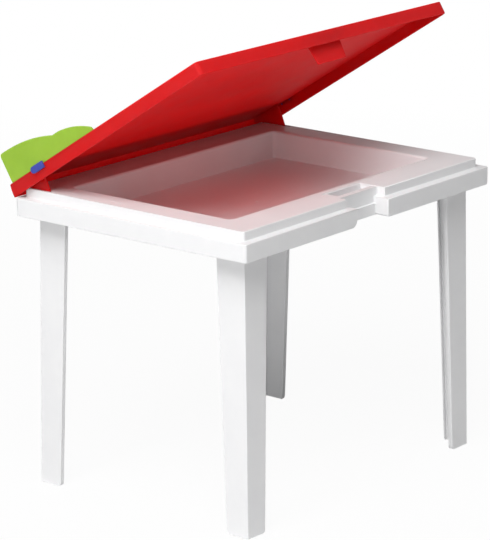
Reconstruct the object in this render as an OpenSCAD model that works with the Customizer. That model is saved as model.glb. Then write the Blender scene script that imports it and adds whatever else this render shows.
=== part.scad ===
// Child's storage table: a white moulded body on four push-in legs, with a deep
// well under a hinged lid. The lid stands open at rest. The front faces -Y, the
// hinge is at the back (+Y), the floor is z = 0, and all sizes are millimetres.

/* [Body] */
// Width of the body over its lower band
body_w = 592; // [560:1:680]
// Depth of the body over its lower band
body_d = 438; // [400:1:520]
// Height of the rim above the floor
rim_h = 460; // [400:1:560]
// Height of the lower band
band_h = 27.4; // [26:0.2:36]
// Height of the upper step, from ledge to rim
step_h = 13.8; // [11:0.2:15]
// Width of the ledge, from the band's face to the step's face
ledge_w = 13.6; // [11:0.2:14]
// Width of the ledge at the back, under the hinge
ledge_back_w = 7; // [6.8:0.1:9]
// Thickness of the body's walls
wall_t = 3; // [2.4:0.1:3.4]
// Corner radius of the band, seen from above
band_corner_r = 5; // [4:0.5:16]

/* [Well] */
// Width of the rim at each side of the well
rim_side_w = 58; // [56:0.5:80]
// Width of the rim in front of the well
rim_front_w = 73.5; // [70:0.5:110]
// Width of the rim behind the well
rim_back_w = 62; // [60:0.5:90]
// Depth of the well below the rim
well_depth = 44; // [25:1:60]
// Corner radius of the well, seen from above
well_corner_r = 7; // [6:0.5:30]
// Radius of the rounding round the well's mouth
mouth_r = 4; // [2:0.1:4.4]
// Radius of the raised gate mark in the middle of the well's floor
gate_r = 2.2; // [1.5:0.1:4]

/* [Rim marks] */
// Distance of the back dimple behind the middle of the body
back_dimple_y = 126; // [110:1:135]
// Distance of the front dimple behind the middle of the body
front_dimple_y = 46; // [20:1:70]
// Distance of the dimples from the body's sides
dimple_in = 27.5; // [24:0.5:32]
// Length of the dimples
dimple_l = 28; // [16:1:32]
// Width of the dimples
dimple_w = 9; // [6:0.5:10]
// Depth of the dimples
dimple_depth = 0.8; // [0.4:0.1:1.2]
// Angle by which the dimples' front ends turn outward
dimple_turn = 15; // [0:1:20]
// Radius of the small notch in the front edge of the well's mouth
mark_r = 2.6; // [1.5:0.1:3]
// Distance of that notch to the right of the middle
mark_x = 14; // [5:1:40]
// Depth of that notch
mark_depth = 2.4; // [1:0.1:2.6]

/* [Finger recess] */
// Width of the recess in the lower band
recess_w = 75; // [60:1:80]
// Width of the recess in the upper step
recess_step_w = 93; // [88:1:130]
// How far the lower band is set back in the recess
recess_band_back = 23.5; // [22:0.5:24]
// How far the step is set back in the recess, from the front of the band
recess_step_back = 27.8; // [26.6:0.1:30]
// Height of the recess's own ledge above the band's lower edge
recess_ledge_h = 17.2; // [10:0.2:18]
// Radius of the recess's inner corners, seen from above
recess_inner_r = 3; // [1:0.5:6]
// Radius of the band's lower corner at the left of the recess
recess_left_r = 11; // [2:0.5:14]
// Radius of the band's lower corner at the right of the recess
recess_right_r = 3; // [2:0.5:14]
// How far the recess's top lies below the rim
recess_drop = 1; // [0.4:0.1:2]
// Distance from the front of the band to the back of the lowered top
recess_top_back = 60; // [58.5:0.5:62]
// Distance from the front of the band to the back of the finger pocket
pocket_back = 58; // [56:0.5:58]
// Width of the finger pocket from front to back
pocket_d = 20.6; // [14:0.2:21]
// How far the pocket reaches to the left of the middle
pocket_left = 36; // [25:1:42]
// How far the pocket reaches to the right of the middle
pocket_right = 46; // [25:1:46]
// Depth of the pocket below the lowered top
pocket_depth = 14; // [6:0.5:20]

/* [Legs] */
// How far the legs stand in from the band's front and back at the top
leg_inset = 23.5; // [21:0.5:28]
// How far the legs stand in from the band's sides at the top
leg_side_inset = 26.5; // [24:0.5:30]
// How much the legs spread sideways down to the floor
leg_spread_x = 3; // [0:0.5:15]
// How much the legs spread to the front and back down to the floor
leg_spread_y = 7; // [0:0.5:15]
// Width of a leg's two flanges at the top
leg_top_w = 51; // [44:0.5:56]
// Width of a leg's two flanges at the floor
leg_foot_w = 39.5; // [30:0.5:44]
// Thickness of a flange
leg_t = 3.5; // [3:0.1:3.8]
// Depth of the stiffening lip along each flange's free edge
leg_lip_d = 7.5; // [5:0.5:10]
// Thickness of the lip
leg_lip_t = 2.8; // [2:0.1:4]
// Radius of the rounded corner at the foot
foot_corner_r = 6; // [3:0.5:10]
// How far the leg's top reaches up into its socket
tenon_h = 22; // [16:0.5:23]
// Wall thickness of the leg sockets and their ribs
socket_t = 2.2; // [1.6:0.1:2.3]
// Clearance all round a leg in its socket
socket_gap = 0.15; // [0.1:0.05:0.2]

/* [Lid] */
// How far the lid stands in from the body's sides
lid_side_in = 4; // [2:0.5:5]
// How far the lid stands in from the body's front
lid_front_in = 6; // [4:0.5:8]
// Height of the lid's edge walls
lid_h = 20; // [18:0.5:24]
// Thickness of the lid
lid_t = 3; // [2.4:0.1:3.4]
// Radius of the lid's front corners, seen from above
lid_corner_r = 7; // [6:0.5:16]
// Radius of the lid's corners at the hinge, seen from above
lid_back_r = 4; // [3.6:0.2:8]
// How far the foot of the lid's back wall reaches past the body's back
lid_back_out = 2; // [0:0.5:3]
// How far the lid's back wall leans in from its foot to its top
lid_back_lean = 5; // [0:0.5:7]
// Gap left between the closed lid and the ledge
lid_seat_gap = 0.3; // [0.2:0.1:1]
// Angle between the lid at rest and the closed lid
rest_angle = 32.5; // [28:0.5:40]
// Gap between the pull tongue's edge and the end of the recess
tongue_side_gap = 1; // [1:0.1:6]
// How much the tongue narrows at each side towards its tip
tongue_taper = 3.5; // [0:0.5:8]
// How far the tongue hangs below the lid's edge
tongue_drop = 25.5; // [15:0.5:26]
// Gap between the closed tongue and the body's face in the recess
tongue_back_gap = 4; // [1.5:0.1:5]
// Thickness of the pull tongue
tongue_t = 3; // [2:0.1:3.4]

/* [Hinge] */
// Distance of the two hinges from the body's sides
hinge_in = 113; // [105:1:160]
// Height of the hinge axis below the ledge
hinge_drop = 10.7; // [9:0.1:12]
// Distance of the hinge axis behind the band's back face
hinge_back = 0.5; // [0:0.1:2]
// Outer radius of the hinge knuckles
knuckle_r = 6; // [5:0.1:7]
// Length of the lid's knuckle
lid_knuckle_w = 24; // [16:1:40]
// Length of each of the body's knuckles
body_knuckle_w = 11.5; // [8:0.5:20]
// Side gap between neighbouring knuckles
knuckle_gap = 0.5; // [0.3:0.1:1]
// Radius of a hinge pin
pin_r = 2.5; // [2:0.1:3]
// Clearance of a pin in the groove through which it is pushed in
pin_groove_gap = 0.4; // [0.2:0.1:0.8]
// Radial clearance of the pin in the lid's knuckle, which turns on it
pin_run_gap = 0.06; // [0.02:0.01:0.1]
// Radial clearance of the pin in the body's knuckles, which hold it
pin_hold_gap = 0.02; // [0.01:0.01:0.05]
// Space between a prop lug's slot and the leg socket beside it
lug_socket_gap = 3; // [0.6:0.1:3]
// Thickness of a prop lug
lug_t = 3; // [2:0.1:3.2]
// Distance of a prop lug's tip from the lid's hinge edge
lug_tip_u = 58.5; // [54:0.5:60]
// How far a lug's foot lies below the rim when the lid is propped open
lug_foot_sink = 0.3; // [0.1:0.1:0.8]
// Height above the lid's edge up to which the lug's front slants at rest
lug_front_h = 4; // [0:0.5:6]
// Angle by which the lug's front leans back from upright at rest
lug_front_lean = 22; // [10:1:24]
// Clearance round a prop lug in its slot
lug_gap = 0.6; // [0.4:0.1:0.8]

/* [Organiser] */
// Length of the organiser's side cheeks along the lid
cheek_l = 197.5; // [170:0.5:220]
// Thickness of the organiser's walls
tray_t = 3; // [2:0.1:4]
// Thickness of the organiser's floor
tray_floor_t = 2.4; // [2:0.1:4]
// How far the cheeks stand in from the lid's sides
cheek_in = 1.5; // [0.5:0.1:3]
// How far the organiser stands in from the lid's hinge edge
tray_in = 7.5; // [6:0.5:12]
// Greatest height of the cheeks' back wave above the lid
back_wave_h = 46.6; // [40:0.2:60]
// How far the cheeks' back corner lies below that height
corner_drop = 2.9; // [1:0.1:6]
// Distance from the cheeks' back edge to the top of the back wave
corner_run = 5; // [2:0.5:10]
// Length of the back wave, from the lid's hinge edge
back_wave_l = 121; // [100:1:130]
// Height of the back wave where the front wave begins
wave_dip_h = 27; // [20:0.2:28]
// Greatest height of the cheeks' front wave above the lid
front_wave_h = 27.2; // [22:0.2:34]
// Height of the front wave's end above the lid
wave_end_h = 6; // [4:0.2:12]
// Height of the pen tray's back wall above the lid
tray_back_h = 30; // [20:0.5:36]
// Height of the pen tray's front lip above the lid
tray_lip_h = 12; // [8:0.5:20]
// Depth of the pen tray from back to front
tray_d = 62; // [50:1:100]

/* [Clips] */
// Length of a clip's outer tab
clip_l = 27.5; // [26:0.5:44]
// Thickness of a clip's outer tab
clip_t = 3.6; // [2.5:0.1:4]
// Distance of a clip's tab from the lid's hinge edge
clip_u = 56.5; // [30:0.5:60]
// How far the tab reaches down over the lid's side
clip_below = 7.2; // [6.4:0.1:7.4]
// How far the tab stands above the lid's top
clip_above = 3.4; // [3.2:0.1:6]
// Length of the bar that reaches through the cheek
clip_bar_l = 22; // [16:0.5:24]
// Thickness of that bar
clip_bar_t = 1.8; // [1.6:0.1:2.4]
// How far the bar lies below the top of the tab
clip_bar_in = 0.3; // [0.1:0.1:0.6]
// How far the bar reaches in over the pen tray
clip_bar_reach = 8; // [4:0.5:14]
// Radius of the two nibs that hold the clip to the lid's side
nib_r = 1.4; // [1.2:0.1:1.5]
// Distance between the two nibs
nib_pitch = 18; // [12:0.5:22]
// Clearance round a clip's bar and nibs
clip_gap = 0.15; // [0.1:0.05:0.3]

/* [Hidden] */

round_fn = 48;
cut = 1;                     // how far a cut runs past the face it opens

// Levels of the body
band_z = rim_h - step_h - band_h;
ledge_z = rim_h - step_h;
recess_ledge_z = band_z + recess_ledge_h;
recess_top_z = rim_h - recess_drop;
step_corner_r = max(band_corner_r - ledge_w / 4, wall_t + 1);

// Plan of the well
well_w = body_w - 2 * rim_side_w;
well_front_y = -body_d / 2 + rim_front_w;
well_back_y = body_d / 2 - rim_back_w;
well_d = well_back_y - well_front_y;
well_mid_y = (well_back_y + well_front_y) / 2;
well_floor_z = rim_h - well_depth;

// Hinge axis and the places of the two hinges
hinge_x = body_w / 2 - hinge_in;
hinge_y = body_d / 2 + hinge_back;
hinge_z = ledge_z - hinge_drop;
pin_half_w = lid_knuckle_w / 2 + knuckle_gap + body_knuckle_w;

// Legs, measured on the front left one
leg_x = body_w / 2 - leg_side_inset;
leg_y = body_d / 2 - leg_inset;
tenon_z = band_z + tenon_h;
lean_x = atan(leg_spread_x / band_z);
lean_y = atan(leg_spread_y / band_z);

// Prop lugs, just outside the back legs' sockets
lug_x = leg_x + socket_gap + socket_t + lug_socket_gap + lug_gap + lug_t / 2;

// Closed lid: u runs from the hinge edge to the front, t up from the lower edge
lid_y = body_d / 2;
lid_w = body_w - 2 * lid_side_in;
lid_l = body_d - lid_front_in;
lid_z = ledge_z + lid_seat_gap;
lid_top_z = lid_z + lid_h;
lid_lean = atan(lid_back_lean / lid_h);
lug_back_u = 22;             // where the lug's foot line starts, under the lid
lug_foot_slope = tan(rest_angle);
lug_foot_up = rim_h - lug_foot_sink - hinge_z;
lug_tip_drop = lid_z - hinge_z
    - (lug_foot_up - (lug_tip_u + hinge_back) * sin(rest_angle)) / cos(rest_angle);
lug_front_u = lug_tip_u + (lug_tip_drop + lug_front_h) * tan(rest_angle - lug_front_lean);
notch_back = knuckle_r + 1;  // room in the ledge round the lid's knuckle

// The origin is the middle of the whole table's box on the floor, lid at rest
back_corner_h = back_wave_h - corner_drop;
reach_y = lid_y - tray_in - hinge_y;
reach_z = lid_z + lid_h + back_corner_h - hinge_z;
back_reach = hinge_y + reach_y * cos(rest_angle) + reach_z * sin(rest_angle);
origin_y = (back_reach - body_d / 2) / 2;

function signs() = [-1, 1];
function lift(p) = [lid_y - p[0], lid_z + p[1]];

// A rectangle with round corners, centred on the origin
module rounded(w, d, r) {
    square([w - 2 * r, d], center = true);
    square([w, d - 2 * r], center = true);
    for (sx = signs(), sy = signs())
        translate([sx * (w / 2 - r), sy * (d / 2 - r)]) circle(r, $fn = round_fn);
}

// The opening at the middle of the front, to a depth from the band's face, with
// round inner corners
module front_gap(w, depth, r) {
    translate([0, -body_d / 2 - cut]) rounded(w, 2 * (depth + cut), r);
}

// Plan of the lower band, drawn in by inset, with the recess cut to a depth
module band_plan(inset, depth) {
    difference() {
        rounded(body_w - 2 * inset, body_d - 2 * inset, band_corner_r - inset / 2);
        front_gap(recess_w + 2 * inset, depth + inset, recess_inner_r + inset);
    }
}

// Plan of the upper step, drawn in by inset, with the recess cut to a depth
module step_plan(inset, depth) {
    difference() {
        translate([0, (ledge_w - ledge_back_w) / 2])
            rounded(body_w - 2 * ledge_w - 2 * inset, body_d - ledge_w - ledge_back_w - 2 * inset,
                    step_corner_r - inset / 2);
        front_gap(recess_step_w + 2 * inset, depth + inset, recess_inner_r + inset);
    }
}

module slab(z0, z1) {
    translate([0, 0, z0]) linear_extrude(z1 - z0) children();
}

// The body's outer form, or its hollow when drawn in by the wall
module body_levels(inset, low) {
    top = inset;
    slab(band_z - low, recess_ledge_z - top) band_plan(inset, recess_band_back);
    slab(recess_ledge_z - top - low, ledge_z - top) band_plan(inset, recess_step_back);
    slab(ledge_z - top - low, recess_top_z - top) step_plan(inset, recess_step_back);
    slab(recess_top_z - top - low, rim_h - top) step_plan(inset, recess_top_back);
}

module well_block(extra, z0, z1) {
    translate([0, well_mid_y, 0])
        slab(z0, z1) rounded(well_w + 2 * extra, well_d + 2 * extra, well_corner_r + extra);
}

// What the rounding takes off the well's upper edge, in section
module mouth_profile() {
    difference() {
        square([mouth_r, mouth_r + cut]);
        translate([mouth_r, 0]) circle(mouth_r, $fn = round_fn);
    }
}

// A straight run of the rounding, at a distance from the middle
module mouth_run(distance, l) {
    translate([distance, l / 2, 0]) rotate([90, 0, 0]) linear_extrude(l) mouth_profile();
}

module mouth_rounding() {
    run_x = well_w - 2 * well_corner_r;
    run_y = well_d - 2 * well_corner_r;
    translate([0, well_mid_y, rim_h - mouth_r]) {
        for (turn = [0, 180]) {
            rotate([0, 0, turn]) mouth_run(well_w / 2, run_y);
            rotate([0, 0, turn + 90]) mouth_run(well_d / 2, run_x);
        }
        for (sx = signs(), sy = signs())
            translate([sx * run_x / 2, sy * run_y / 2, 0])
                rotate_extrude($fn = round_fn) translate([well_corner_r, 0]) mouth_profile();
    }
}

// The finger pocket behind the lip, grown by extra for its walls
module pocket(extra, z0, z1) {
    front_y = -body_d / 2 + pocket_back - pocket_d;
    slab(z0, z1) translate([-pocket_left - extra, front_y - extra])
        square([pocket_left + pocket_right + 2 * extra, pocket_d + 2 * extra]);
}

// What the rounding takes off the band's lower corner at one side of the recess
module end_rounding(side, r) {
    translate([0, -body_d / 2 + recess_band_back, band_z]) rotate([90, 0, 0])
        linear_extrude(recess_band_back + cut) mirror([side < 0 ? 1 : 0, 0, 0]) difference() {
            translate([recess_w / 2 - cut, -cut]) square([r + cut, r + cut]);
            translate([recess_w / 2 + r, r]) circle(r, $fn = round_fn);
        }
}

// Plan of a leg's two flanges with their lips, for the front left leg
module leg_plan(extra) {
    translate([-leg_x - extra, -leg_y - extra])
        square([leg_t + 2 * extra, leg_top_w + 2 * extra]);
    translate([-leg_x - extra, -leg_y - extra])
        square([leg_top_w + 2 * extra, leg_t + 2 * extra]);
    translate([-leg_x - extra, -leg_y + leg_top_w - leg_lip_t - extra])
        square([leg_lip_d + 2 * extra, leg_lip_t + 2 * extra]);
    translate([-leg_x + leg_top_w - leg_lip_t - extra, -leg_y - extra])
        square([leg_lip_t + 2 * extra, leg_lip_d + 2 * extra]);
}

// Socket sleeve of the front left leg, with ribs to the band's walls
module leg_socket() {
    grown = socket_gap + socket_t;
    rib_z1 = ledge_z - wall_t / 2;
    side_x = body_w / 2 - wall_t / 2;
    front_y = body_d / 2 - wall_t / 2;
    slab(band_z, tenon_z + socket_t) leg_plan(grown);
    for (along = [leg_t, leg_top_w - socket_t]) {
        translate([-side_x, -leg_y + along, band_z])
            cube([side_x - leg_x, socket_t, rib_z1 - band_z]);
        translate([-leg_x + along, -front_y, band_z])
            cube([socket_t, front_y - leg_y, rib_z1 - band_z]);
    }
    translate([-leg_x + leg_t, -leg_y + leg_top_w - socket_t, band_z])
        cube([leg_x - well_w / 2 - wall_t / 2, socket_t, rib_z1 - band_z]);
    translate([-leg_x + leg_top_w - socket_t, -leg_y + leg_t, band_z])
        cube([socket_t, leg_y + well_front_y - wall_t / 2, rib_z1 - band_z]);
}

// The same thing at all four corners
module four_corners() {
    for (sx = signs(), sy = signs())
        mirror([sx > 0 ? 1 : 0, 0, 0]) mirror([0, sy > 0 ? 1 : 0, 0]) children();
}

// Middle of the lid's leaning back wall at a height above its foot
function back_wall_u(t) = lid_t / 2 - lid_back_out + t * lid_back_lean / lid_h;

// Outline of a prop lug on the closed lid, and of the room that it needs
module lug_outline(extra) {
    back_t = -lug_tip_drop + (lug_tip_u - lug_back_u) * lug_foot_slope;
    top_t = lid_h - lid_t / 2;
    polygon([for (p = [
        [back_wall_u(top_t) - extra, top_t],
        [back_wall_u(back_t) - extra, back_t - extra],
        [lug_back_u - extra, back_t - extra],
        [lug_tip_u - extra, -lug_tip_drop - extra * 2],
        [lug_tip_u + extra, -lug_tip_drop - extra * 2],
        [lug_front_u + extra, lug_front_h],
        [lug_front_u + extra, top_t]]) lift(p)]);
}

// Extrudes a (y, z) outline along x, centred on x
module along_x(x, w) {
    translate([x - w / 2, 0, 0]) rotate([90, 0, 90]) linear_extrude(w) children();
}

module barrel(x, w, r) {
    translate([x - w / 2, hinge_y, hinge_z]) rotate([0, 90, 0]) cylinder(h = w, r = r, $fn = round_fn);
}

// The two hinge knuckles of the body at one side
module body_knuckles(x) {
    offset_x = lid_knuckle_w / 2 + knuckle_gap + body_knuckle_w / 2;
    for (s = signs()) barrel(x + s * offset_x, body_knuckle_w, knuckle_r);
}

// The groove beside a hinge, or the thicker wall round it when drawn larger
module pin_groove(side, r) {
    barrel(side * (hinge_x + 2 * pin_half_w), 2 * pin_half_w, r);
}

// Room in the ledge and back wall for the lid's knuckle and its arm
module knuckle_room(x) {
    w = lid_knuckle_w + 2 * knuckle_gap;
    translate([x - w / 2, hinge_y - notch_back, hinge_z - notch_back])
        cube([w, 2 * notch_back, ledge_z - hinge_z + notch_back + cut]);
}

// Radius of an arc of a given width and height
function arc_r(w, h) = (w * w / 4 + h * h) / (2 * h);

// Shallow long dimples in the side rims: the lowest part of a ring that stands
// upright on the rim
module rim_dimples() {
    long_r = arc_r(dimple_l, dimple_depth);
    cross_r = arc_r(dimple_w, dimple_depth);
    for (s = signs(), y = [back_dimple_y, front_dimple_y])
        translate([s * (body_w / 2 - dimple_in), y, rim_h - dimple_depth + long_r])
            rotate([0, 90, s * dimple_turn])
                rotate_extrude($fn = round_fn) translate([long_r - cross_r, 0])
                    circle(cross_r, $fn = round_fn);
}

// The small notch in the front edge of the well's mouth
module mouth_mark() {
    translate([mark_x, well_front_y - mouth_r / 2, rim_h - mark_depth])
        cylinder(h = mark_depth + cut, r = mark_r, $fn = round_fn);
}

module table_body() color("white") placed() {
    difference() {
        union() {
            difference() {
                body_levels(0, 0);
                body_levels(wall_t, cut);
            }
            intersection() {
                body_levels(0, 0);
                union() {
                    four_corners() leg_socket();
                    for (s = signs()) pin_groove(s, knuckle_r);
                    pocket(wall_t, recess_top_z - pocket_depth - wall_t, recess_top_z);
                }
            }
            well_block(wall_t, well_floor_z - wall_t, rim_h - wall_t / 2);
            for (s = signs()) body_knuckles(s * hinge_x);
        }
        well_block(0, well_floor_z, rim_h + cut);
        mouth_rounding();
        pocket(0, recess_top_z - pocket_depth, rim_h + cut);
        four_corners() slab(band_z - cut, tenon_z) leg_plan(socket_gap);
        for (s = signs()) {
            knuckle_room(s * hinge_x);
            barrel(s * hinge_x, 2 * pin_half_w + 2 * cut, pin_r + pin_hold_gap);
            pin_groove(s, pin_r + pin_groove_gap);
            along_x(s * lug_x, lug_t + 2 * lug_gap) lug_outline(lug_gap);
        }
        end_rounding(-1, recess_left_r);
        end_rounding(1, recess_right_r);
        rim_dimples();
        mouth_mark();
    }
    translate([0, 0, well_floor_z - wall_t / 2])
        cylinder(h = wall_t / 2 + 0.6, r = gate_r, $fn = round_fn);
}

// Place across a flange of an edge that runs straight from the floor to the band
function edge_at(foot, top, z) = foot + (top - foot) * z / band_z;

// A strip of a flange between two straight edges, a little longer than the leg
module strip(foot_0, top_0, foot_1, top_1) {
    z0 = -cut;
    z1 = band_z + leg_t;
    polygon([[edge_at(foot_0, top_0, z1), z1], [edge_at(foot_1, top_1, z1), z1],
             [edge_at(foot_1, top_1, z0), z0], [edge_at(foot_0, top_0, z0), z0]]);
}

// One flange of a leg in its own plane: across is its width, up is z. The corner
// edge leans by spread, the free edge tapers, and the foot's corner is round.
module flange(spread) {
    foot_x = leg_foot_w - spread;
    arc_x = edge_at(foot_x, leg_top_w, foot_corner_r) - foot_corner_r;
    difference() {
        union() {
            linear_extrude(leg_t) strip(-spread, 0, foot_x, leg_top_w);
            linear_extrude(leg_lip_d)
                strip(foot_x - leg_lip_t, leg_top_w - leg_lip_t, foot_x, leg_top_w);
        }
        translate([arc_x, 0, -cut]) linear_extrude(leg_lip_d + 2 * cut) difference() {
            translate([0, -2 * cut]) square([2 * foot_corner_r, foot_corner_r + 2 * cut]);
            translate([0, foot_corner_r]) circle(foot_corner_r, $fn = round_fn);
        }
    }
}

// The front left leg: two tapered flanges and the straight top in the socket
module leg_shape() {
    slab(band_z, tenon_z) leg_plan(0);
    difference() {
        union() {
            // the flange in front, standing along x
            translate([-leg_x, -leg_y, band_z]) rotate([-lean_y, 0, 0]) translate([0, 0, -band_z])
                mirror([0, 1, 0]) rotate([90, 0, 0]) flange(leg_spread_x);
            // the flange at the side, standing along y
            translate([-leg_x, -leg_y, band_z]) rotate([0, lean_x, 0]) translate([0, 0, -band_z])
                rotate([90, 0, 90]) flange(leg_spread_y);
        }
        translate([-body_w, -body_d, -rim_h]) cube([2 * body_w, 2 * body_d, rim_h]);
        translate([-body_w, -body_d, band_z]) cube([2 * body_w, 2 * body_d, rim_h]);
    }
}

module leg(sx, sy) {
    color("white") placed()
        mirror([sx > 0 ? 1 : 0, 0, 0]) mirror([0, sy > 0 ? 1 : 0, 0]) leg_shape();
}

// Puts the table's own middle at the origin
module placed() translate([0, -origin_y, 0]) children();

// Turns what is drawn on the closed lid up to the rest angle
module lid_at_rest() {
    placed() translate([0, hinge_y, hinge_z]) rotate([-rest_angle, 0, 0])
        translate([0, -hinge_y, -hinge_z]) children();
}

// All that lies behind the lid's leaning back wall
module behind_lid(inset) {
    translate([0, lid_y + lid_back_out, lid_z]) rotate([lid_lean, 0, 0])
        translate([-lid_w, -inset, -2 * lid_h]) cube([2 * lid_w, 2 * lid_h, 4 * lid_h]);
}

// The lid's block, or its hollow when drawn in by the wall
module lid_box(inset, z0, z1) {
    full_l = lid_l + lid_back_out;
    half_l = full_l / 2;
    difference() {
        translate([0, lid_y + lid_back_out, 0]) slab(z0, z1) {
            translate([0, -half_l])
                rounded(lid_w - 2 * inset, full_l - 2 * inset, lid_corner_r - inset);
            translate([0, -half_l / 2])
                rounded(lid_w - 2 * inset, half_l - 2 * inset, lid_back_r - inset);
        }
        behind_lid(inset);
    }
}

// The lid's knuckle and the arm that joins it to the lid's back wall
module lid_knuckle(x) {
    barrel(x, lid_knuckle_w, knuckle_r);
    difference() {
        translate([x - lid_knuckle_w / 2, hinge_y - knuckle_r + 1, hinge_z])
            cube([lid_knuckle_w, lid_y - hinge_y + knuckle_r - 1, lid_z + lid_h / 2 - hinge_z]);
        behind_lid(0);
    }
}

module tongue() {
    top_x = recess_w / 2 - tongue_side_gap;
    tip_x = top_x - tongue_taper;
    root_t = lid_h - lid_t / 2;
    back_y = -body_d / 2 + recess_band_back - tongue_back_gap;
    translate([0, back_y, lid_z]) rotate([90, 0, 0]) linear_extrude(tongue_t)
        polygon([[-top_x, root_t], [-top_x, 0], [-tip_x, -tongue_drop],
                 [tip_x, -tongue_drop], [top_x, 0], [top_x, root_t]]);
}

// Where the clip's two nibs sit in the lid's side
module nibs(side, r, x0, x1) {
    nib_z = lid_top_z - lid_t - nib_r - clip_gap;
    for (s = signs())
        translate([side > 0 ? x0 : -x1, lid_y - clip_u - clip_l / 2 + s * nib_pitch / 2, nib_z])
            rotate([0, 90, 0]) cylinder(h = x1 - x0, r = r, $fn = round_fn);
}

module lid() color("red") lid_at_rest() {
    difference() {
        union() {
            difference() {
                lid_box(0, lid_z, lid_top_z);
                lid_box(lid_t, lid_z - cut, lid_top_z - lid_t);
            }
            for (s = signs()) {
                lid_knuckle(s * hinge_x);
                along_x(s * lug_x, lug_t) lug_outline(0);
            }
            tongue();
        }
        for (s = signs()) {
            barrel(s * hinge_x, lid_knuckle_w + 2 * cut, pin_r + pin_run_gap);
            nibs(s, nib_r + clip_gap, lid_w / 2 - lid_t - cut, lid_w / 2 + cut);
        }
    }
}

module hinge_pin(side) color("silver") placed() {
    barrel(side * hinge_x, 2 * pin_half_w, pin_r);
}

// Waved top of a cheek: a round back corner, then two waves that fall away
wave_steps = 12;
corner_steps = 4;
wave_bend = 2.3;             // above 2, the back wave stays high for longer
front_crest_run = 5;         // from the dip to the top of the front wave
cheek_end_run = 1.5;         // the front wave's short steep end
back_crest_u = tray_in + corner_run;
front_crest_u = back_wave_l + front_crest_run;
function parts(n) = [for (i = [0 : n]) i / n];
function back_corner(f) =
    [back_crest_u - corner_run * cos(90 * f), back_corner_h + corner_drop * sin(90 * f)];
function back_wave(f) =
    [back_crest_u + f * (back_wave_l - back_crest_u),
     back_wave_h - (back_wave_h - wave_dip_h) * pow(f, wave_bend)];
function front_wave(f) =
    [front_crest_u + f * (cheek_l - front_crest_u),
     front_wave_h - (front_wave_h - wave_end_h) * pow(f, 2)];

module cheek_outline() {
    end_u = cheek_l + cheek_end_run;
    top = concat(
        [for (f = parts(corner_steps)) back_corner(f)],
        [for (i = [1 : wave_steps]) back_wave(i / wave_steps)],
        [for (f = parts(wave_steps)) front_wave(f)]);
    outline = concat([[tray_in, 0]], top, [[end_u, wave_end_h / 2], [end_u, 0]]);
    polygon([for (p = outline) lift([p[0], lid_h + p[1]])]);
}

module organiser_tray() color("yellowgreen") lid_at_rest() {
    cheek_x = lid_w / 2 - cheek_in - tray_t / 2;
    back_y = lid_y - tray_in;
    difference() {
        union() {
            for (s = signs()) along_x(s * cheek_x, tray_t) cheek_outline();
            translate([-cheek_x, back_y - tray_d, lid_top_z]) cube([2 * cheek_x, tray_d, tray_floor_t]);
            translate([-cheek_x, back_y - tray_t, lid_top_z]) cube([2 * cheek_x, tray_t, tray_back_h]);
            translate([-cheek_x, back_y - tray_d, lid_top_z]) cube([2 * cheek_x, tray_t, tray_lip_h]);
        }
        for (s = signs()) clip_bar(s, clip_gap);
    }
}

// The clip's bar through the cheek, grown by extra for its slot
module clip_bar(side, extra) {
    x0 = lid_w / 2 - cheek_in - tray_t - clip_bar_reach - extra;
    x1 = lid_w / 2 + clip_t / 2;
    y0 = lid_y - clip_u - clip_l / 2 - clip_bar_l / 2 - extra;
    z1 = lid_top_z + clip_above - clip_bar_in + extra;
    translate([side > 0 ? x0 : -x1, y0, z1 - clip_bar_t - 2 * extra])
        cube([x1 - x0, clip_bar_l + 2 * extra, clip_bar_t + 2 * extra]);
}

// The clip's outer tab, round at its hinge end
module clip_tab(side) {
    z0 = lid_top_z - clip_below;
    x_mid = side * (lid_w / 2 + clip_t / 2);
    clip_h = clip_below + clip_above;
    r = clip_h / 2;
    along_x(x_mid, clip_t) {
        translate([lid_y - clip_u - clip_l, z0]) square([clip_l - r, clip_h]);
        translate([lid_y - clip_u - r, z0 + r]) circle(r, $fn = round_fn);
    }
}

module tray_clip(side) color("royalblue") lid_at_rest() {
    clip_tab(side);
    clip_bar(side, 0);
    nibs(side, nib_r, lid_w / 2 - lid_t + clip_gap, lid_w / 2 + clip_t / 2);
}

table_body();
leg(-1, -1);  // leg_front_left
leg(1, -1);  // leg_front_right
leg(-1, 1);  // leg_back_left
leg(1, 1);  // leg_back_right
lid();
hinge_pin(-1);  // hinge_pin_left
hinge_pin(1);  // hinge_pin_right
organiser_tray();
tray_clip(-1);  // tray_clip_left
tray_clip(1);  // tray_clip_right
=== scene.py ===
import math
import bpy
import bmesh
from mathutils import Vector, Matrix
from mathutils.bvhtree import BVHTree
from mathutils.kdtree import KDTree


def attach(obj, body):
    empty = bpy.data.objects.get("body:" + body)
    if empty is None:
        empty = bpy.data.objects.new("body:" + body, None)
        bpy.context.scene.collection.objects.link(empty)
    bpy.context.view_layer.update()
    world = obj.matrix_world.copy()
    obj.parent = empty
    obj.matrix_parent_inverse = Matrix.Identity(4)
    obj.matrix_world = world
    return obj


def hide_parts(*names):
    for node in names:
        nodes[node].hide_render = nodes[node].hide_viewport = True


# A child's storage table in white moulded plastic. Its red lid is propped open
# and carries a green pen organiser, held at each side by a blue clip.

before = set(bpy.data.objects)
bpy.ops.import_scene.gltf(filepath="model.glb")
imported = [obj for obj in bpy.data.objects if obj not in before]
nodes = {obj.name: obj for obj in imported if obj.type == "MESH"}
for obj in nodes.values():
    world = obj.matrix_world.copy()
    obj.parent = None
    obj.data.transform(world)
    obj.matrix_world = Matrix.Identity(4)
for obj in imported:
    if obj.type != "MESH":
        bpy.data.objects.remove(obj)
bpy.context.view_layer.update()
print("frame loaded:", len(nodes), "nodes")

scene = bpy.context.scene
scene.view_settings.view_transform = "Standard"


# node helpers

def wire(tree, source, target):
    tree.links.new(source, target)


def setInput(tree, target, value):
    # a number goes on the socket itself, a socket is wired to it
    if isinstance(value, (int, float)):
        target.default_value = value
    else:
        wire(tree, value, target)


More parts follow.
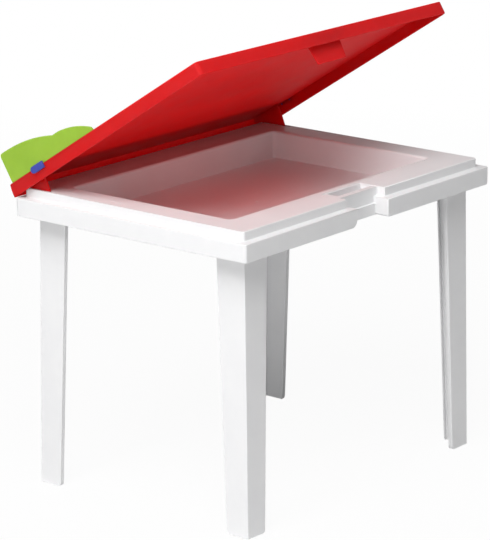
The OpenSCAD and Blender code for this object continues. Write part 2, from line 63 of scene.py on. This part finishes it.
def startGroup(name, inputs, outputs):
    # inputs are (name, kind, value), outputs are (name, kind)
    tree = bpy.data.node_groups.new(name, "ShaderNodeTree")
    for label, kind, value in inputs:
        item = tree.interface.new_socket(name=label, in_out="INPUT", socket_type=kind)
        item.default_value = value
    for label, kind in outputs:
        tree.interface.new_socket(name=label, in_out="OUTPUT", socket_type=kind)
    entry = tree.nodes.new("NodeGroupInput")
    leave = tree.nodes.new("NodeGroupOutput")
    return tree, entry, leave


def mathNode(tree, kind, first, second):
    node = tree.nodes.new("ShaderNodeMath")
    node.operation = kind
    setInput(tree, node.inputs[0], first)
    setInput(tree, node.inputs[1], second)
    return node.outputs[0]


def rangeNode(tree, value, low, high, outLow, outHigh):
    node = tree.nodes.new("ShaderNodeMapRange")
    wire(tree, value, node.inputs["Value"])
    ends = {"From Min": low, "From Max": high, "To Min": outLow, "To Max": outHigh}
    for label, end in ends.items():
        setInput(tree, node.inputs[label], end)
    return node.outputs["Result"]


def mixColours(tree, amount, first, second):
    # colours given as three numbers stay on the node
    node = tree.nodes.new("ShaderNodeMix")
    node.data_type = "RGBA"
    wire(tree, amount, node.inputs[0])
    for slot, colour in ((6, first), (7, second)):
        if isinstance(colour, tuple):
            node.inputs[slot].default_value = (*colour, 1.0)
        else:
            wire(tree, colour, node.inputs[slot])
    return node.outputs[2]


def bumpNode(tree, height, strength, distance):
    node = tree.nodes.new("ShaderNodeBump")
    node.inputs["Strength"].default_value = strength
    node.inputs["Distance"].default_value = distance
    wire(tree, height, node.inputs["Height"])
    return node.outputs["Normal"]


def noiseNode(tree, coords, scale, detail, roughness=0.5):
    node = tree.nodes.new("ShaderNodeTexNoise")
    wire(tree, coords, node.inputs["Vector"])
    setInput(tree, node.inputs["Scale"], scale)
    node.inputs["Detail"].default_value = detail
    node.inputs["Roughness"].default_value = roughness
    return node.outputs["Fac"]


def startMaterial(name):
    material = bpy.data.materials.new(name)
    material.use_nodes = True
    tree = material.node_tree
    coords = tree.nodes.new("ShaderNodeTexCoord").outputs["Object"]
    return material, tree, tree.nodes["Principled BSDF"], coords


# effects that several plastics share

grainLook = {"fineDetail": 2.0, "waveDetail": 1.0,
             "mottleScale": 2.3, "mottleDetail": 4.0, "mottleRough": 0.6}


def buildGrainGroup():
    # fine moulded texture with slow waves from the mould, as a height
    tree, entry, leave = startGroup(
        "mouldedGrain",
        [("Vector", "NodeSocketVector", (0, 0, 0)), ("Fine Scale", "NodeSocketFloat", 900.0),
         ("Fine Amount", "NodeSocketFloat", 0.3), ("Wave Scale", "NodeSocketFloat", 14.0)],
        [("Height", "NodeSocketFloat"), ("Mottle", "NodeSocketFloat")])
    coords = entry.outputs["Vector"]
    fine = noiseNode(tree, coords, entry.outputs["Fine Scale"], grainLook["fineDetail"])
    wave = noiseNode(tree, coords, entry.outputs["Wave Scale"], grainLook["waveDetail"])
    fineHeight = mathNode(tree, "MULTIPLY", fine, entry.outputs["Fine Amount"])
    wire(tree, mathNode(tree, "ADD", fineHeight, wave), leave.inputs["Height"])
    mottleScale = mathNode(tree, "MULTIPLY", entry.outputs["Wave Scale"], grainLook["mottleScale"])
    mottle = noiseNode(tree, coords, mottleScale,
                       grainLook["mottleDetail"], grainLook["mottleRough"])
    wire(tree, mottle, leave.inputs["Mottle"])
    return tree


# noise that breaks up the rubbed, painted-highlight edges, and the stretched scuffs
wearAndHighlightLook = {"breakupDetail": 4.0, "breakupRough": 0.65, "breakupRange": (0.42, 0.66),
            "scuffStretch": (1.0, 7.0, 7.0), "scuffTurn": (0.3, 0.2, 0.7),
            "scuffDetail": 6.0, "scuffRough": 0.7, "scuffRange": (0.6, 0.78)}


def buildWearAndHighlightGroup():
    # rubbed corners with a painted highlight along the rounded edges, and faint scuffs, as masks
    # from 0 to 1
    tree, entry, leave = startGroup(
        "edgeWearAndHighlight",
        [("Vector", "NodeSocketVector", (0, 0, 0)), ("Breakup Scale", "NodeSocketFloat", 60.0),
         ("Scuff Scale", "NodeSocketFloat", 25.0)],
        [("Edge", "NodeSocketFloat"), ("Scuff", "NodeSocketFloat")])
    rounded = tree.nodes.new("ShaderNodeAttribute")
    rounded.attribute_name = "roundedEdge"
    breakup = noiseNode(tree, entry.outputs["Vector"], entry.outputs["Breakup Scale"],
                        wearAndHighlightLook["breakupDetail"], wearAndHighlightLook["breakupRough"])
    broken = rangeNode(tree, breakup, *wearAndHighlightLook["breakupRange"], 0.0, 1.0)
    rubbedAndHighlit = mathNode(tree, "MULTIPLY", rounded.outputs["Fac"], broken)
    wire(tree, rubbedAndHighlit, leave.inputs["Edge"])
    stretch = tree.nodes.new("ShaderNodeMapping")
    stretch.inputs["Scale"].default_value = wearAndHighlightLook["scuffStretch"]
    stretch.inputs["Rotation"].default_value = wearAndHighlightLook["scuffTurn"]
    wire(tree, entry.outputs["Vector"], stretch.inputs["Vector"])
    scuff = noiseNode(tree, stretch.outputs["Vector"], entry.outputs["Scuff Scale"],
                      wearAndHighlightLook["scuffDetail"], wearAndHighlightLook["scuffRough"])
    scuffMask = rangeNode(tree, scuff, *wearAndHighlightLook["scuffRange"], 0.0, 1.0)
    wire(tree, scuffMask, leave.inputs["Scuff"])
    return tree


grainGroup = buildGrainGroup()
wearAndHighlightGroup = buildWearAndHighlightGroup()


def placeGroup(tree, group, values):
    node = tree.nodes.new("ShaderNodeGroup")
    node.node_tree = group
    for label, value in values.items():
        node.inputs[label].default_value = value
    return node


def plastic(name, look):
    # one moulded plastic, from the values in look
    material, tree, shader, coords = startMaterial(name)
    grain = placeGroup(tree, grainGroup, {
        "Fine Scale": look["grainScale"], "Fine Amount": look["grainAmount"],
        "Wave Scale": look["waveScale"]})
    wire(tree, coords, grain.inputs["Vector"])
    wearAndHighlight = placeGroup(tree, wearAndHighlightGroup, {
        "Breakup Scale": look["breakupScale"], "Scuff Scale": look["scuffScale"]})
    wire(tree, coords, wearAndHighlight.inputs["Vector"])

    mottle = grain.outputs["Mottle"]
    depth = rangeNode(tree, mottle, *look["tintRange"], 0.0, 1.0)
    tint = mixColours(tree, depth, look["deep"], look["base"])
    # the rounded edges turn a lighter, paler colour: rubbed wear plus a painted highlight along
    # them
    rubbedAndHighlit = mathNode(tree, "MULTIPLY", wearAndHighlight.outputs["Edge"], look["wearAndHighlightAmount"])
    colour = mixColours(tree, rubbedAndHighlit, tint, look["wornAndHighlit"])
    wire(tree, colour, shader.inputs["Base Color"])

    rough = rangeNode(tree, mottle, *look["roughRange"], look["roughLow"], look["roughHigh"])
    scuffed = mathNode(tree, "MULTIPLY", wearAndHighlight.outputs["Scuff"], look["scuffRough"])
    wire(tree, mathNode(tree, "ADD", rough, scuffed), shader.inputs["Roughness"])

    bump = bumpNode(tree, grain.outputs["Height"], look["bumpStrength"], look["bumpDistance"])
    wire(tree, bump, shader.inputs["Normal"])
    shader.inputs["Specular IOR Level"].default_value = look["specular"]
    shader.inputs["Subsurface Weight"].default_value = look["subsurface"]
    shader.inputs["Subsurface Radius"].default_value = look["passes"]
    shader.inputs["Subsurface Scale"].default_value = look["depth"]
    return material


# each plastic's lighter edge colour goes on its rounded edges as rubbed wear and painted highlight
plasticBase = {
    "breakupScale": 70.0, "tintRange": (0.3, 0.65), "wearAndHighlightAmount": 0.4,
    "roughRange": (0.3, 0.7), "scuffRough": 0.08, "grainScale": 1300.0, "grainAmount": 0.2,
    "bumpStrength": 0.12, "bumpDistance": 0.0008, "subsurface": 0.0, "passes": (1.0, 1.0, 1.0),
    "depth": 0.003}

whitePlastic = dict(
    plasticBase, base=(0.86, 0.86, 0.865), deep=(0.84, 0.84, 0.85), wornAndHighlit=(0.92, 0.92, 0.92),
    roughLow=0.3, roughHigh=0.4, specular=0.5, grainScale=1100.0, grainAmount=0.25,
    waveScale=9.0, scuffScale=18.0)

# light passes a little way into the red shell and the green tray
redPlastic = dict(
    plasticBase, base=(0.66, 0.013, 0.015), deep=(0.61, 0.011, 0.013), wornAndHighlit=(0.76, 0.06, 0.06),
    roughLow=0.5, roughHigh=0.58, specular=0.12, subsurface=1.0, passes=(1.0, 0.05, 0.05),
    depth=0.02, waveScale=8.0, scuffScale=20.0)

greenPlastic = dict(
    plasticBase, base=(0.34, 0.54, 0.055), deep=(0.3, 0.49, 0.047), wornAndHighlit=(0.5, 0.72, 0.2),
    roughLow=0.38, roughHigh=0.46, specular=0.2, subsurface=0.3, passes=(0.6, 1.0, 0.1),
    waveScale=10.0, scuffScale=22.0)

bluePlastic = dict(
    plasticBase, base=(0.055, 0.075, 0.4), deep=(0.045, 0.06, 0.34), wornAndHighlit=(0.15, 0.18, 0.5),
    roughLow=0.32, roughHigh=0.42, specular=0.3, passes=(0.1, 0.1, 1.0), depth=0.002,
    grainScale=1500.0, waveScale=20.0, scuffScale=30.0, bumpDistance=0.0006)

plasticLooks = {"whitePlastic": whitePlastic, "redPlastic": redPlastic,
                "greenPlastic": greenPlastic, "bluePlastic": bluePlastic}
plastics = {name: plastic(name, look) for name, look in plasticLooks.items()}


def drawnSteel(look):
    # bright rod with fine lines along its length
    material, tree, shader, coords = startMaterial("pinSteel")
    stretch = tree.nodes.new("ShaderNodeMapping")
    stretch.inputs["Scale"].default_value = look["stretch"]
    wire(tree, coords, stretch.inputs["Vector"])
    lines = noiseNode(tree, stretch.outputs["Vector"], look["lineScale"],
                      look["lineDetail"], look["lineRough"])
    wire(tree, mixColours(tree, lines, look["dark"], look["light"]), shader.inputs["Base Color"])
    rough = rangeNode(tree, lines, *look["lineRange"], look["roughLow"], look["roughHigh"])
    wire(tree, rough, shader.inputs["Roughness"])
    shader.inputs["Metallic"].default_value = 1.0
    bump = bumpNode(tree, lines, look["bumpStrength"], look["bumpDistance"])
    wire(tree, bump, shader.inputs["Normal"])
    return material


steelLook = {
    "dark": (0.45, 0.45, 0.47), "light": (0.66, 0.66, 0.68), "stretch": (1.0, 40.0, 40.0),
    "lineScale": 30.0, "lineDetail": 5.0, "lineRough": 0.6, "lineRange": (0.3, 0.7),
    "roughLow": 0.25, "roughHigh": 0.42, "bumpStrength": 0.2, "bumpDistance": 0.0003}
pinSteel = drawnSteel(steelLook)
print("materials made")


# pieces with soft moulded edges

# used where two faces have no angle between them, such as at a zero-area face
noAngle = 3.0


def isFlat(edge, flatAngle):
    return len(edge.link_faces) == 2 and edge.calc_face_angle(noAngle) < flatAngle


def cornerAngle(face, vert):
    return next(loop.calc_angle() for loop in face.loops if loop.vert is vert)


def joinFlatFaces(work, look):
    # joins neighbours that lie in one plane, as long as the new face stays convex
    joined = True
    while joined:
        joined = False
        for edge in sorted(work.edges, key=lambda item: -item.calc_length()):
            if not edge.is_valid or not isFlat(edge, look["flatAngle"]):
                continue
            first, second = edge.link_faces
            sharedVerts = set(first.verts) & set(second.verts)
            sharedEdges = set(first.edges) & set(second.edges)
            if len(sharedVerts) != len(sharedEdges) + 1:
                continue
            ends = [vert for vert in sharedVerts
                    if sum(vert in item.verts for item in sharedEdges) == 1]
            turns = [cornerAngle(first, vert) + cornerAngle(second, vert) for vert in ends]
            if max(turns) < look["straightAngle"]:
                bmesh.utils.face_join((first, second))
                joined = True


def smoothRegions(work, sharpAngle):
    # for each face, the sharp edges round the smooth region that it lies in
    regionOf = {}
    for start in work.faces:
        if start in regionOf:
            continue
        rims = []
        stack = [start]
        regionOf[start] = rims
        while stack:
            face = stack.pop()
            for edge in face.edges:
                if not isFlat(edge, sharpAngle):
                    rims.append(edge)
                    continue
                for other in edge.link_faces:
                    if other not in regionOf:
                        regionOf[other] = rims
                        stack.append(other)
    return regionOf


def roomBeside(loop, rims, most, look):
    # distance from an edge across its region to the next rim, at a few places
    edge = loop.edge
    origin = loop.vert.co
    end = loop.link_loop_next.vert.co
    along = (end - origin).normalized()
    normal = loop.face.normal
    across = normal.cross(along)
    nearest = most
    for part in look["roomPlaces"]:
        start = origin.lerp(end, part)
        for rim in rims:
            if rim is edge:
                continue
            one, two = rim.verts[0].co - start, rim.verts[1].co - start
            sideOne, sideTwo = one.dot(along), two.dot(along)
            if sideOne * sideTwo > 0 or sideOne == sideTwo:
                continue
            hit = one.lerp(two, sideOne / (sideOne - sideTwo))
            reach = hit.dot(across)
            if look["leastRoom"] < reach < nearest and abs(hit.dot(normal)) < reach:
                nearest = reach
    return nearest


def markEdges(work, look):
    # a weight on each sharp edge, smaller where a thin wall leaves less room
    weight = work.edges.layers.float.new("bevel_weight_edge")
    rimsOf = smoothRegions(work, look["sharpAngle"])
    most = look["edgeRadius"] / look["roomShare"]
    for edge in work.edges:
        if len(edge.link_faces) != 2 or edge.calc_face_angle(0.0) < look["sharpAngle"]:
            continue
        room = min(roomBeside(loop, rimsOf[loop.face], most, look) for loop in edge.link_loops)
        share = min(1.0, room / most)
        edge[weight] = share if share > look["leastShare"] else 0.0


def foldedSpots(bent, surface, look):
    # places where the rounding leaves the old surface or turns a triangle over
    spots = []
    for vert in bent.vertices:
        gap = surface.find_nearest(vert.co)[3]
        if gap > look["foldGap"] * look["edgeRadius"]:
            spots.append(vert.co.copy())
    bent.calc_loop_triangles()
    for piece in bent.loop_triangles:
        corners = [bent.vertices[corner].co for corner in piece.vertices]
        middle = (corners[0] + corners[1] + corners[2]) / 3
        turned = piece.normal.dot(surface.find_nearest(middle)[1]) < look["turnedOver"]
        if piece.area > look["leastArea"] and turned:
            spots.extend(corner.copy() for corner in corners)
    return spots


def calmFolds(piece, surface, look):
    # edges whose rounding would fold over stay sharp
    mesh = piece.data
    marks = mesh.attributes["bevel_weight_edge"].data
    places = []
    for edge in mesh.edges:
        if marks[edge.index].value == 0:
            continue
        one, two = (mesh.vertices[corner].co for corner in edge.vertices)
        steps = int((two - one).length / look["foldStep"]) + 2
        places += [(one.lerp(two, step / steps), edge.index) for step in range(steps + 1)]
    finder = KDTree(len(places))
    for number, (place, index) in enumerate(places):
        finder.insert(place, number)
    finder.balance()
    for attempt in range(look["foldTurns"]):
        held = piece.evaluated_get(bpy.context.evaluated_depsgraph_get())
        spots = foldedSpots(held.to_mesh(), surface, look)
        held.to_mesh_clear()
        if not spots:
            break
        marks = mesh.attributes["bevel_weight_edge"].data
        for spot in spots:
            reach = look["foldReach"] * look["edgeRadius"]
            for found in finder.find_range(spot, reach) or [finder.find(spot)]:
                marks[places[found[1]][1]].value = 0.0
        mesh.update()
        piece.update_tag()
    return len(spots)


def sharedNormal(direction, flats, look):
    # the mean normal of the old faces round a point that turn the same way
    best = max(flats, key=lambda face: face.normal.dot(direction))
    total = Vector((0.0, 0.0, 0.0))
    for face in flats:
        if face.normal.angle(best.normal, noAngle) < look["creaseAngle"]:
            total += face.normal * face.calc_area()
    return total.normalized()


def keepRounding(piece, surface, look):
    # the rounded mesh takes the place of the modifier, flat faces are shaded flat up to
    # the rounding, and its inner points get a mark that places rubbed wear and a painted edge
    # highlight
    held = piece.evaluated_get(bpy.context.evaluated_depsgraph_get())
    mesh = bpy.data.meshes.new_from_object(held)
    work = bmesh.new()
    work.from_mesh(mesh)
    bmesh.ops.remove_doubles(work, verts=work.verts, dist=look["mergeRounded"])
    work.normal_update()
    mark = work.verts.layers.float.new("roundedEdge")
    for vert in work.verts:
        gap = surface.find_nearest(vert.co)[3]
        vert[mark] = 1.0 if gap > look["markShare"] * look["edgeRadius"] else 0.0
    oldFaces = set()
    for face in work.faces:
        face.smooth = True
        normal, gap = surface.find_nearest(face.calc_center_median())[1::2]
        if gap < look["flatGap"] and normal.dot(face.normal) > look["sameTurn"]:
            oldFaces.add(face)
    normals = []
    for face in work.faces:
        for vert in face.verts:
            flats = [other for other in vert.link_faces if other in oldFaces]
            if flats:
                normals.append(sharedNormal(face.normal, flats, look))
            else:
                normals.append(vert.normal.copy())
    work.to_mesh(mesh)
    work.free()
    mesh.normals_split_custom_set(normals)
    mesh.name = piece.name
    piece.modifiers.clear()
    piece.data = mesh


def softPiece(name, look):
    # the CAD piece with its flat faces joined up and its edges rounded
    mesh = nodes[look["node"]].data.copy()
    piece = bpy.data.objects.new(name, mesh)
    scene.collection.objects.link(piece)
    for part in list(mesh.attributes):
        if part.name in ("custom_normal", "UVMap"):
            mesh.attributes.remove(part)
    work = bmesh.new()
    work.from_mesh(mesh)
    bmesh.ops.remove_doubles(work, verts=work.verts, dist=look["merge"])
    work.normal_update()
    surface = BVHTree.FromBMesh(work)
    joinFlatFaces(work, look)
    work.normal_update()
    markEdges(work, look)
    for face in work.faces:
        face.material_index = 0
    work.to_mesh(mesh)
    work.free()
    mesh.materials.clear()
    mesh.materials.append(plastics[look["plastic"]])
    bevel = piece.modifiers.new("softEdges", "BEVEL")
    bevel.width = look["edgeRadius"]
    bevel.segments = look["edgeSteps"]
    bevel.limit_method = "WEIGHT"
    bevel.loop_slide = False
    bevel.use_clamp_overlap = False
    left = calmFolds(piece, surface, look)
    keepRounding(piece, surface, look)
    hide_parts(look["node"])
    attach(piece, look["body"])
    print("piece made:", name, len(piece.data.polygons), "faces,", left, "folds left")


# what every rounded piece shares, in metres and radians
softBase = {
    "merge": 0.00003, "flatAngle": math.radians(0.3), "straightAngle": math.radians(180.5),
    "sharpAngle": math.radians(35.0), "roomPlaces": (0.2, 0.5, 0.8), "leastRoom": 0.00001,
    "roomShare": 0.4, "leastShare": 0.15, "edgeSteps": 3,
    "foldStep": 0.0008, "foldTurns": 8, "foldReach": 1.2, "foldGap": 0.6, "leastArea": 2e-8,
    "turnedOver": -0.1, "mergeRounded": 0.00001, "markShare": 0.04, "flatGap": 0.0001,
    "sameTurn": 0.995, "creaseAngle": math.radians(20.0)}

tableBody = dict(softBase, node="table_body", body="table", plastic="whitePlastic",
                 edgeRadius=0.0014)
softPiece("tableBody", tableBody)

leg = dict(softBase, body="table", plastic="whitePlastic", edgeRadius=0.0012)
softPiece("legFrontLeft", dict(leg, node="leg_front_left"))
softPiece("legFrontRight", dict(leg, node="leg_front_right"))
softPiece("legBackLeft", dict(leg, node="leg_back_left"))
softPiece("legBackRight", dict(leg, node="leg_back_right"))

lidShell = dict(softBase, node="lid", body="lid_unit", plastic="redPlastic",
                edgeRadius=0.0014)
softPiece("lidShell", lidShell)

organiserTray = dict(softBase, node="organiser_tray", body="lid_unit", plastic="greenPlastic",
                     edgeRadius=0.0011)
softPiece("organiserTray", organiserTray)

trayClip = dict(softBase, body="lid_unit", plastic="bluePlastic", edgeRadius=0.0006)
softPiece("trayClipLeft", dict(trayClip, node="tray_clip_left"))
softPiece("trayClipRight", dict(trayClip, node="tray_clip_right"))

for node in ("hinge_pin_left", "hinge_pin_right"):
    for slot in nodes[node].material_slots:
        slot.material = pinSteel


# floor, light and camera

# the floor glows for the camera only, so that it stays pale and keeps the shadow
floorLook = {
    "radius": 14.0, "segments": 96, "colour": (0.85, 0.85, 0.85), "specular": 0.1,
    "noiseScale": 3.0, "noiseDetail": 3.0, "noiseRange": (0.3, 0.7),
    "roughLow": 0.75, "roughHigh": 0.85, "fadeStart": 0.7, "fadeEnd": 2.6, "fadeLeast": 0.95}


def buildFloor(look):
    mesh = bpy.data.meshes.new("studioFloor")
    work = bmesh.new()
    bmesh.ops.create_circle(work, cap_ends=True, segments=look["segments"], radius=look["radius"])
    work.to_mesh(mesh)
    work.free()
    floor = bpy.data.objects.new("studioFloor", mesh)
    scene.collection.objects.link(floor)
    material, tree, shader, coords = startMaterial("floorPaper")
    shader.inputs["Base Color"].default_value = (*look["colour"], 1.0)
    grain = noiseNode(tree, coords, look["noiseScale"], look["noiseDetail"])
    rough = rangeNode(tree, grain, *look["noiseRange"], look["roughLow"], look["roughHigh"])
    wire(tree, rough, shader.inputs["Roughness"])
    shader.inputs["Specular IOR Level"].default_value = look["specular"]
    length = tree.nodes.new("ShaderNodeVectorMath")
    length.operation = "LENGTH"
    wire(tree, coords, length.inputs[0])
    fade = rangeNode(tree, length.outputs["Value"], look["fadeStart"], look["fadeEnd"],
                     look["fadeLeast"], 1.0)
    path = tree.nodes.new("ShaderNodeLightPath")
    glow = tree.nodes.new("ShaderNodeEmission")
    glow.inputs["Color"].default_value = (1, 1, 1, 1)
    mix = tree.nodes.new("ShaderNodeMixShader")
    wire(tree, mathNode(tree, "MULTIPLY", fade, path.outputs["Is Camera Ray"]), mix.inputs[0])
    wire(tree, shader.outputs[0], mix.inputs[1])
    wire(tree, glow.outputs[0], mix.inputs[2])
    wire(tree, mix.outputs[0], tree.nodes["Material Output"].inputs["Surface"])
    mesh.materials.append(material)


buildFloor(floorLook)

# strength of the surroundings for each kind of ray
worldLook = {"fill": 0.12, "mirrored": 0.35, "seen": 1.0}


def buildWorld(look):
    world = bpy.data.worlds.new("studioWorld")
    scene.world = world
    world.use_nodes = True
    tree = world.node_tree
    sky = tree.nodes["Background"]
    sky.inputs["Color"].default_value = (1, 1, 1, 1)
    path = tree.nodes.new("ShaderNodeLightPath")
    mirrored = rangeNode(tree, path.outputs["Is Glossy Ray"], 0.0, 1.0,
                         look["fill"], look["mirrored"])
    seen = rangeNode(tree, path.outputs["Is Camera Ray"], 0.0, 1.0, mirrored, look["seen"])
    wire(tree, seen, sky.inputs["Strength"])


buildWorld(worldLook)

lampBase = {"aim": (0.0, 0.0, 0.4), "tint": (1.0, 1.0, 1.0)}
lampList = {
    "keyLamp": dict(lampBase, place=(-3.7, -0.25, 1.05), size=1.3, power=28.5),
    "topLamp": dict(lampBase, place=(-1.9, -0.8, 3.2), size=2.2, power=115.0),
    "frontLamp": dict(lampBase, place=(0.7, -3.4, 0.5), aim=(0.0, 0.0, 0.45), size=2.4,
                      power=15.0),
    # the red light that the open lid throws into the well
    "bounceLamp": dict(lampBase, place=(0.0, 0.0, 0.53), aim=(0.0, 0.072, 0.416), size=0.26,
                       power=0.055, tint=(1.0, 0.06, 0.05)),
}


def addLamp(name, look):
    light = bpy.data.lights.new(name, "AREA")
    light.shape = "SQUARE"
    light.size = look["size"]
    light.energy = look["power"]
    light.color = look["tint"]
    lamp = bpy.data.objects.new(name, light)
    scene.collection.objects.link(lamp)
    lamp.location = look["place"]
    aim = Vector(look["aim"]) - Vector(look["place"])
    lamp.rotation_euler = aim.to_track_quat("-Z", "Y").to_euler()


for name, look in lampList.items():
    addLamp(name, look)

# angles in degrees, lengths in metres, lens and sensor in millimetres
cameraLook = {
    "azimuth": -50.734, "elevation": 15.554, "roll": -0.308, "distance": 4.4713,
    "target": (-0.08034, -0.05893, 0.33303), "lens": 200.317, "sensor": 36.0, "farthest": 100.0}


def addCamera(look):
    az = math.radians(look["azimuth"])
    el = math.radians(look["elevation"])
    roll = math.radians(look["roll"])
    back = Vector((math.sin(az) * math.cos(el), -math.cos(az) * math.cos(el), math.sin(el)))
    side = (-back).cross(Vector((0, 0, 1))).normalized()
    up = side.cross(-back)
    right = side * math.cos(roll) + up * math.sin(roll)
    top = up * math.cos(roll) - side * math.sin(roll)
    data = bpy.data.cameras.new("photoCamera")
    data.sensor_width = look["sensor"]
    data.lens = look["lens"]
    data.clip_end = look["farthest"]
    camera = bpy.data.objects.new("photoCamera", data)
    scene.collection.objects.link(camera)
    place = Vector(look["target"]) + back * look["distance"]
    turn = Matrix((right, top, back)).transposed().to_4x4()
    camera.matrix_world = Matrix.Translation(place) @ turn
    scene.camera = camera


addCamera(cameraLook)
print("stage, lamps and camera made")
